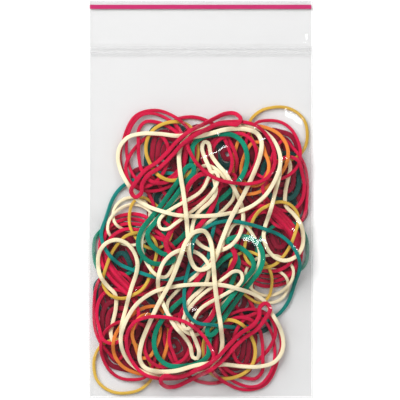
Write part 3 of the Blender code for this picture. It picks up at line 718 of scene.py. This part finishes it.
def front_height(heap, xs, ys, spec):
    """The underside of the front film: stretched over the heap, down to the zip, the lip and the welds."""
    rows, columns = len(xs), len(ys)
    x, y = np.meshgrid(xs, ys, indexing="ij")
    places = np.column_stack([x.ravel(), y.ravel()])
    over = heap.top[heap.cells(places, SUPPORT_REACH * SHEET_CELL)].max(axis=1).reshape(rows, columns)
    over = np.where(y > GRID_HIGH[1], 0.0, over)
    low = np.where(over > BACK_TOP, over + FILM_CLEARANCE, spec["rest"])
    zone = np.interp(y, spec["zip_rows"], spec["zip_heights"])
    side = np.clip((spec["edge"] - np.abs(x)) / WELD_SLOPE, 0.0, 1.0)
    low = np.maximum(low, zone * side + spec["rest"] * (1 - side))
    low[0, :] = low[-1, :] = low[:, 0] = spec["rest"]
    film = low.copy()
    for _ in range(DRAPE_ROUNDS):
        around = (film[:-2, 1:-1] + film[2:, 1:-1] + film[1:-1, :-2] + film[1:-1, 2:]) / 4.0
        film[1:-1, 1:-1] = np.maximum(low[1:-1, 1:-1], around)
    rng = np.random.default_rng(CREASE_SEED)
    fade = np.clip((film - spec["rest"]) / CREASE_FADE, 0.0, 1.0)
    return film + CREASE_HEIGHT * creases(x, y, rng) * fade


# ---------------------------------------------------------------- materials

def new_material(name):
    """An empty node material: itself, its tree and its output node."""
    material = bpy.data.materials.new(name)
    material.use_nodes = True
    tree = material.node_tree
    tree.nodes.clear()
    output = tree.nodes.new("ShaderNodeOutputMaterial")
    return material, tree, output


def node(tree, kind, inputs=None, **settings):
    """A new node, with each of its inputs linked to a socket or set to a value."""
    made = tree.nodes.new(kind)
    for key, value in settings.items():
        setattr(made, key, value)
    for key, value in (inputs or {}).items():
        if isinstance(value, bpy.types.NodeSocket):
            tree.links.new(value, made.inputs[key])
        else:
            made.inputs[key].default_value = value
    return made


def rubber(name, light, deep, dust):
    """Cut rubber: cloudy colour, knife marks along the strap and a dusty bloom."""
    material, tree, output = new_material(name)
    place = node(tree, "ShaderNodeTexCoord").outputs["Object"]
    cloud = node(tree, "ShaderNodeTexNoise", {"Vector": place, "Scale": 140.0, "Detail": 3.0}).outputs["Fac"]
    section = node(tree, "ShaderNodeAttribute", attribute_name="section").outputs["Vector"]
    tint = node(tree, "ShaderNodeSeparateXYZ", {"Vector": section}).outputs["Z"]
    blend = node(tree, "ShaderNodeMix", {"Factor": TINT_SHARE, "A": cloud, "B": tint}, data_type="FLOAT")
    tone = node(tree, "ShaderNodeMix", {"Factor": blend.outputs["Result"], "A": (*deep, 1.0),
                                        "B": (*light, 1.0)}, data_type="RGBA")
    speck = node(tree, "ShaderNodeTexNoise", {"Vector": place, "Scale": 1500.0, "Detail": 2.0}).outputs["Fac"]
    bloom = node(tree, "ShaderNodeMapRange", {"Value": speck, "From Min": 0.5, "From Max": 0.8,
                                              "To Min": 0.0, "To Max": dust})
    dusty = node(tree, "ShaderNodeMix", {"Factor": bloom.outputs["Result"], "A": tone.outputs["Result"],
                                         "B": (0.9, 0.85, 0.8, 1.0)}, data_type="RGBA")
    rough = node(tree, "ShaderNodeMapRange", {"Value": cloud, "From Min": 0.3, "From Max": 0.7,
                                              "To Min": 0.45, "To Max": 0.65})
    marks = node(tree, "ShaderNodeTexNoise", {"Vector": section, "Scale": 7.0, "Detail": 2.0}).outputs["Fac"]
    grain = node(tree, "ShaderNodeMath", {0: marks, 1: speck}, operation="ADD")
    bump = node(tree, "ShaderNodeBump", {"Height": grain.outputs[0], "Strength": 0.35, "Distance": 0.00008})
    shader = node(tree, "ShaderNodeBsdfPrincipled", {
        "Base Color": dusty.outputs["Result"], "Roughness": rough.outputs["Result"],
        "Normal": bump.outputs["Normal"], "Specular IOR Level": 0.2})
    tree.links.new(shader.outputs[0], output.inputs["Surface"])
    return material


def film_material(name, clarity, gloss, haze, milky=0.0, edge_mirror=0.6):
    """Thin clear plastic: mostly see-through, mirroring at a slant, with a faint haze.

    milky is the haze of the parts that lie below the zip's ceiling, where they differ from the rest.
    """
    material, tree, output = new_material(name)
    clear = node(tree, "ShaderNodeBsdfTransparent", {"Color": (clarity, clarity, clarity, 1.0)})
    shine = node(tree, "ShaderNodeBsdfGlossy", {"Color": (1.0, 1.0, 1.0, 1.0), "Roughness": gloss})
    lit = node(tree, "ShaderNodeBsdfDiffuse", {"Color": (0.97, 0.97, 0.98, 1.0)})
    through = node(tree, "ShaderNodeBsdfTranslucent", {"Color": (0.97, 0.97, 0.98, 1.0)})
    milk = node(tree, "ShaderNodeMixShader", {0: 0.5, 1: lit.outputs[0], 2: through.outputs[0]})
    place = node(tree, "ShaderNodeTexCoord").outputs["Object"]
    ripple = node(tree, "ShaderNodeTexNoise", {"Vector": place, "Scale": 150.0, "Detail": 1.0}).outputs["Fac"]
    bump = node(tree, "ShaderNodeBump", {"Height": ripple, "Strength": 0.2, "Distance": 0.0004})
    tree.links.new(bump.outputs["Normal"], shine.inputs["Normal"])
    slant = node(tree, "ShaderNodeLayerWeight", {"Blend": 0.5, "Normal": bump.outputs["Normal"]})
    steep = node(tree, "ShaderNodeMath", {0: slant.outputs["Facing"], 1: 5.0}, operation="POWER")
    mirror = node(tree, "ShaderNodeMapRange", {"Value": steep.outputs[0], "To Min": FILM_MIRROR,
                                               "To Max": edge_mirror})
    cloud = node(tree, "ShaderNodeTexNoise", {"Vector": place, "Scale": 60.0, "Detail": 2.0}).outputs["Fac"]
    amount = node(tree, "ShaderNodeMapRange", {"Value": cloud, "From Min": 0.3, "From Max": 0.7,
                                               "To Min": 0.5 * haze, "To Max": 1.5 * haze})
    amount = amount.outputs["Result"]
    if milky:
        height = node(tree, "ShaderNodeSeparateXYZ", {"Vector": place}).outputs["Z"]
        walls = node(tree, "ShaderNodeMath", {0: height, 1: ZIP_CEILING * MM}, operation="LESS_THAN")
        amount = node(tree, "ShaderNodeMix", {"Factor": walls.outputs[0], "A": amount, "B": milky},
                      data_type="FLOAT").outputs["Result"]
    hazy = node(tree, "ShaderNodeMixShader", {0: amount, 1: clear.outputs[0], 2: milk.outputs[0]})
    mixed = node(tree, "ShaderNodeMixShader", {0: mirror.outputs[0], 1: hazy.outputs[0],
                                               2: shine.outputs[0]})
    tree.links.new(mixed.outputs[0], output.inputs["Surface"])
    return material


def ink_material(name, colour):
    """Printed ink, a little uneven."""
    material, tree, output = new_material(name)
    place = node(tree, "ShaderNodeTexCoord").outputs["Object"]
    cloud = node(tree, "ShaderNodeTexNoise", {"Vector": place, "Scale": 400.0, "Detail": 3.0}).outputs["Fac"]
    tone = node(tree, "ShaderNodeMix", {"Factor": cloud, "A": (*[0.85 * c for c in colour], 1.0),
                                        "B": (*colour, 1.0)}, data_type="RGBA")
    shader = node(tree, "ShaderNodeBsdfPrincipled", {"Base Color": tone.outputs["Result"],
                                                     "Roughness": 0.35})
    tree.links.new(shader.outputs[0], output.inputs["Surface"])
    return material


def floor_material():
    """A dull white ground."""
    material, tree, output = new_material("studio_floor")
    shader = node(tree, "ShaderNodeBsdfPrincipled", {"Base Color": (0.9, 0.9, 0.9, 1.0), "Roughness": 0.9,
                                                     "Specular IOR Level": 0.0})
    tree.links.new(shader.outputs[0], output.inputs["Surface"])
    return material


# ---------------------------------------------------------------- stage

def area_light(name, place, width, height, power, mirrored):
    """A rectangular light that faces the heap."""
    data = bpy.data.lights.new(name, "AREA")
    data.shape = "RECTANGLE"
    data.size = width
    data.size_y = height
    data.energy = power
    light = add_object(name, data)
    light.location = place
    light.rotation_euler = (Vector(LIGHT_TARGET) - Vector(place)).to_track_quat("-Z", "Y").to_euler()
    light.visible_glossy = mirrored


def make_world():
    """A white studio that the film and the rubber mirror only dimly."""
    world = bpy.data.worlds.new("studio")
    world.use_nodes = True
    tree = world.node_tree
    tree.nodes.clear()
    seen = node(tree, "ShaderNodeLightPath").outputs["Is Camera Ray"]
    strength = node(tree, "ShaderNodeMapRange", {"Value": seen, "To Min": STUDIO_LIGHT, "To Max": 1.0})
    sky = node(tree, "ShaderNodeBackground", {"Color": (1.0, 1.0, 1.0, 1.0),
                                              "Strength": strength.outputs["Result"]})
    output = node(tree, "ShaderNodeOutputWorld", {"Surface": sky.outputs[0]})
    output.is_active_output = True
    bpy.context.scene.world = world


def make_camera():
    """A long lens straight above the bag, so that its view is almost without perspective."""
    data = bpy.data.cameras.new("camera")
    data.lens, data.sensor_width = LENS, SENSOR
    data.clip_start, data.clip_end = 0.1, 20.0
    camera = add_object("camera", data)
    camera.location = (*VIEW_SHIFT, VIEW_WIDTH * LENS / SENSOR)
    bpy.context.scene.camera = camera


def make_stage():
    """The floor, the lights and the camera."""
    mesh = bpy.data.meshes.new("floor")
    corners = [(-1, -1), (1, -1), (1, 1), (-1, 1)]
    mesh.from_pydata([(FLOOR_REACH * x, FLOOR_REACH * y, FLOOR_HEIGHT) for x, y in corners], [],
                     [(0, 1, 2, 3)])
    mesh.materials.append(floor_material())
    add_object("floor", mesh)
    make_world()
    for light in LIGHTS:
        area_light(*light)
    make_camera()
    bpy.context.scene.view_settings.view_transform = "Standard"
    bpy.context.scene.cycles.transparent_max_bounces = 32


# ---------------------------------------------------------------- the bag

def copy_along_x(name, source, step, material):
    """A CAD piece's own shape with more cuts along X."""
    mesh = source.data.copy()
    mesh.name = name
    shape = bmesh.new()
    shape.from_mesh(mesh)
    low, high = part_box(source.name)
    count = int((high.x - low.x) / step)
    for k in range(1, count):
        x = low.x + (high.x - low.x) * k / count
        bmesh.ops.bisect_plane(shape, geom=shape.verts[:] + shape.edges[:] + shape.faces[:],
                               plane_co=(x, 0, 0), plane_no=(1, 0, 0))
    shape.to_mesh(mesh)
    shape.free()
    mesh.materials.clear()
    mesh.materials.append(material)
    return add_object(name, mesh)


def make_front(heap, hinge, material):
    """The front film and the lip as one sheet, over the heap and the zip."""
    back_low, back_high = (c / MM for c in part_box("back_film"))
    zip_low, zip_high = (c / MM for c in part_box("zip_channel"))
    lip_low, _ = (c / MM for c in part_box("front_lip_film"))
    xs = np.linspace(back_low.x, back_high.x, round((back_high.x - back_low.x) / SHEET_CELL) + 1)
    ys = np.linspace(back_low.y, back_high.y, round((back_high.y - back_low.y) / SHEET_CELL) + 1)
    ridge = zip_high.z + ZIP_CLEARANCE
    spec = {"edge": back_high.x, "rest": lip_low.z,
            "zip_rows": [hinge.y - HINGE_RUN, hinge.y, zip_low.y - ZIP_SHOULDER,
                         zip_high.y + ZIP_SHOULDER, zip_high.y + LIP_RUN],
            "zip_heights": [0.0, HINGE_RISE, ridge, ridge, lip_low.z]}
    front = sheet_piece("front_sheet", xs, ys, front_height(heap, xs, ys, spec), FILM, material)
    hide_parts("front_film", "front_lip_film")
    follow_mouth(front)


def repaint(piece, material):
    piece.data.materials.clear()
    piece.data.materials.append(material)


def main():
    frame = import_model()
    make_stage()
    nodes = frame["nodes"]
    rubbers = {name: rubber(f"{name}_rubber", *tones) for name, tones in RUBBERS.items()}
    film = film_material("clear_film", clarity=0.957, gloss=0.08, haze=0.001)
    channel_plastic = film_material("zip_plastic", clarity=1.0, gloss=0.2, haze=0.0, milky=ZIP_MILK,
                                    edge_mirror=0.0)
    rib_plastic = film_material("zip_rib_plastic", clarity=1.0, gloss=0.2, haze=0.0, edge_mirror=0.02)
    welded = film_material("welded_film", clarity=0.97, gloss=0.2, haze=0.1)
    ink = ink_material("stripe_ink", STRIPE_COLOUR)

    heap = Heap()
    make_buried(heap, rubbers)
    make_rings(heap, rubbers, nodes)

    hinge = Vector(frame["joints"][0]["pos_m"]) / MM
    make_front(heap, hinge, film)
    repaint(nodes["back_film"], film)
    repaint(nodes["edge_welds"], welded)
    repaint(nodes["zip_rib"], rib_plastic)

    channel = copy_along_x("zip_channel_bent", nodes["zip_channel"], BEND_STEP * MM, channel_plastic)
    stripe = copy_along_x("stripe_print", nodes["opening_stripe"], BEND_STEP * MM, ink)
    for piece, source, slot in ((channel, "zip_channel", "zip_profile"),
                                (stripe, "opening_stripe", "stripe_ink")):
        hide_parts(source)
        follow_mouth(piece)


main()
